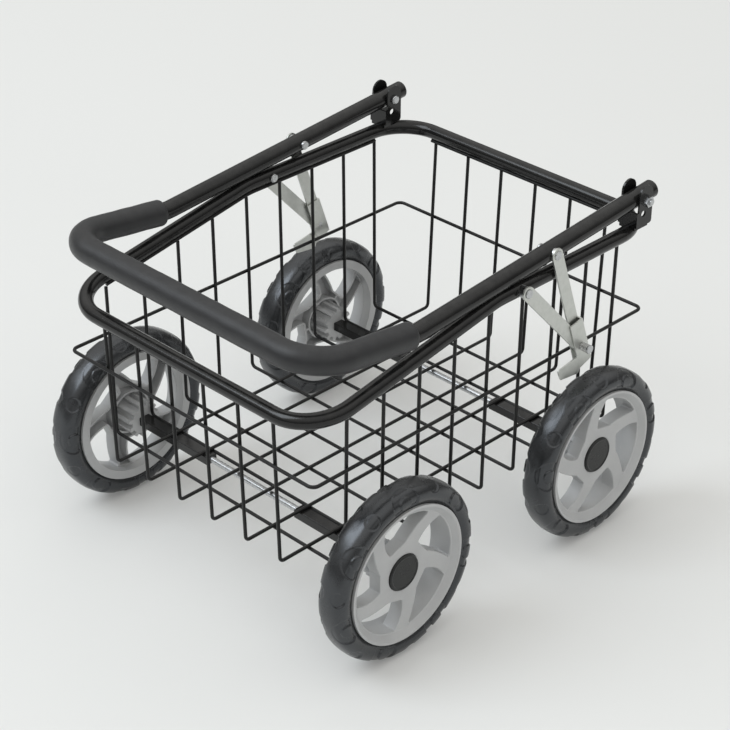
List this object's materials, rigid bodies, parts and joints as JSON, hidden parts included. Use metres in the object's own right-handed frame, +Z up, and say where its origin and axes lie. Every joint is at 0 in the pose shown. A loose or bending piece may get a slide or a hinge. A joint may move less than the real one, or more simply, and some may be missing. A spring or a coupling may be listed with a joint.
{
  "type": "folding shopping trolley",
  "caption": "Low wire-basket shopping trolley on spoked wheels, with a foam-gripped push handle that folds over the basket on locking knee braces.",
  "frame": {"origin": "on the floor, under the middle of the trolley's outline", "axes": "+X forward towards the folded grip, +Y to the left, +Z up"},
  "size_m": [0.4756, 0.4154, 0.3512],
  "materials": {
    "gloss_black_tube": "gloss black powder coat",
    "black_wire": "gloss black powder coat on wire",
    "foam": "matte dark grey foam",
    "black_plastic": "satin black plastic",
    "tyre_rubber": "matte charcoal rubber",
    "grey_plastic": "satin grey moulded plastic",
    "zinc_plate": "dull zinc plated sheet",
    "zinc_fastener": "zinc plated",
    "spring_steel": "bright spring wire"
  },
  "bodies": {
    "chassis": {"rim_hoop": "gloss_black_tube", "header_wires": "black_wire", "cross_wires": "black_wire", "long_wires": "black_wire", "band_wire": "black_wire", "front_axle": "zinc_fastener", "rear_axle": "zinc_fastener", "hinge_bracket_left": "gloss_black_tube", "hinge_bolt_left": "zinc_fastener", "hinge_nut_left": "zinc_fastener", "lower_pivot_bolt_left": "zinc_fastener", "pivot_spacer_left": "zinc_fastener", "front_axle_channel_left": "gloss_black_tube", "rear_axle_channel_left": "gloss_black_tube", "front_axle_clip_left": "zinc_fastener", "rear_axle_clip_left": "zinc_fastener", "hinge_bracket_right": "gloss_black_tube", "hinge_bolt_right": "zinc_fastener", "hinge_nut_right": "zinc_fastener", "lower_pivot_bolt_right": "zinc_fastener", "pivot_spacer_right": "zinc_fastener", "front_axle_channel_right": "gloss_black_tube", "rear_axle_channel_right": "gloss_black_tube", "front_axle_clip_right": "zinc_fastener", "rear_axle_clip_right": "zinc_fastener"},
    "handle": {"handle_tube": "gloss_black_tube", "foam_grip": "foam", "handle_plug_left": "black_plastic", "upper_pivot_bolt_left": "zinc_fastener", "handle_plug_right": "black_plastic", "upper_pivot_bolt_right": "zinc_fastener"},
    "lower_brace_left": {"lower_link_left": "zinc_plate"},
    "upper_brace_left": {"upper_link_left": "zinc_plate", "link_rivet_left": "zinc_fastener", "knee_rivet_left": "zinc_fastener", "lock_spring_left": "spring_steel"},
    "lever_left": {"lock_lever_left": "zinc_plate"},
    "lower_brace_right": {"lower_link_right": "zinc_plate"},
    "upper_brace_right": {"upper_link_right": "zinc_plate", "link_rivet_right": "zinc_fastener", "knee_rivet_right": "zinc_fastener", "lock_spring_right": "spring_steel"},
    "lever_right": {"lock_lever_right": "zinc_plate"},
    "wheel_front_left": {"wheel_rim_front_left": "grey_plastic", "tyre_front_left": "tyre_rubber", "hub_cap_front_left": "black_plastic"},
    "wheel_front_right": {"wheel_rim_front_right": "grey_plastic", "tyre_front_right": "tyre_rubber", "hub_cap_front_right": "black_plastic"},
    "wheel_rear_left": {"wheel_rim_rear_left": "grey_plastic", "tyre_rear_left": "tyre_rubber", "hub_cap_rear_left": "black_plastic"},
    "wheel_rear_right": {"wheel_rim_rear_right": "grey_plastic", "tyre_rear_right": "tyre_rubber", "hub_cap_rear_right": "black_plastic"}
  },
  "joints": [
    {"name": "handle_fold", "type": "hinge", "parent": "chassis", "child": "handle", "pos_m": [-0.2051, 0, 0.33565], "axis": [0, -1, 0], "range_deg": [0, 94.01]},
    {"name": "lower_link_left", "type": "hinge", "parent": "chassis", "child": "lower_brace_left", "pos_m": [-0.0339, 0, 0.3012], "axis": [0, -1, 0], "range_deg": [-91.56, 0]},
    {"name": "knee_left", "type": "hinge", "parent": "lower_brace_left", "child": "upper_brace_left", "pos_m": [-0.1144, 0, 0.214], "axis": [0, -1, 0], "range_deg": [0, 156.62]},
    {"name": "lock_lever_left", "type": "hinge", "parent": "upper_brace_left", "child": "lever_left", "pos_m": [-0.1144, 0, 0.214], "axis": [0, -1, 0], "range_deg": [0, 12], "stiffness_Nm_per_rad": 0.06, "springref_deg": -34.38},
    {"name": "lower_link_right", "type": "hinge", "parent": "chassis", "child": "lower_brace_right", "pos_m": [-0.0339, 0, 0.3012], "axis": [0, -1, 0], "range_deg": [-91.56, 0]},
    {"name": "knee_right", "type": "hinge", "parent": "lower_brace_right", "child": "upper_brace_right", "pos_m": [-0.1144, 0, 0.214], "axis": [0, -1, 0], "range_deg": [0, 156.62]},
    {"name": "lock_lever_right", "type": "hinge", "parent": "upper_brace_right", "child": "lever_right", "pos_m": [-0.1144, 0, 0.214], "axis": [0, -1, 0], "range_deg": [0, 12], "stiffness_Nm_per_rad": 0.06, "springref_deg": -34.38},
    {"name": "wheel_spin_front_left", "type": "hinge", "parent": "chassis", "child": "wheel_front_left", "pos_m": [0.14595, 0, 0.09], "axis": [0, 1, 0], "continuous": true},
    {"name": "wheel_spin_front_right", "type": "hinge", "parent": "chassis", "child": "wheel_front_right", "pos_m": [0.14595, 0, 0.09], "axis": [0, 1, 0], "continuous": true},
    {"name": "wheel_spin_rear_left", "type": "hinge", "parent": "chassis", "child": "wheel_rear_left", "pos_m": [-0.12895, 0, 0.09], "axis": [0, 1, 0], "continuous": true},
    {"name": "wheel_spin_rear_right", "type": "hinge", "parent": "chassis", "child": "wheel_rear_right", "pos_m": [-0.12895, 0, 0.09], "axis": [0, 1, 0], "continuous": true}
  ],
  "couplings": [
    {"joint": "lower_link_left", "follows": "handle_fold", "ratio": -0.9729},
    {"joint": "knee_left", "follows": "handle_fold", "ratio": 1.665},
    {"joint": "lower_link_right", "follows": "handle_fold", "ratio": -0.9729},
    {"joint": "knee_right", "follows": "handle_fold", "ratio": 1.665}
  ]
}
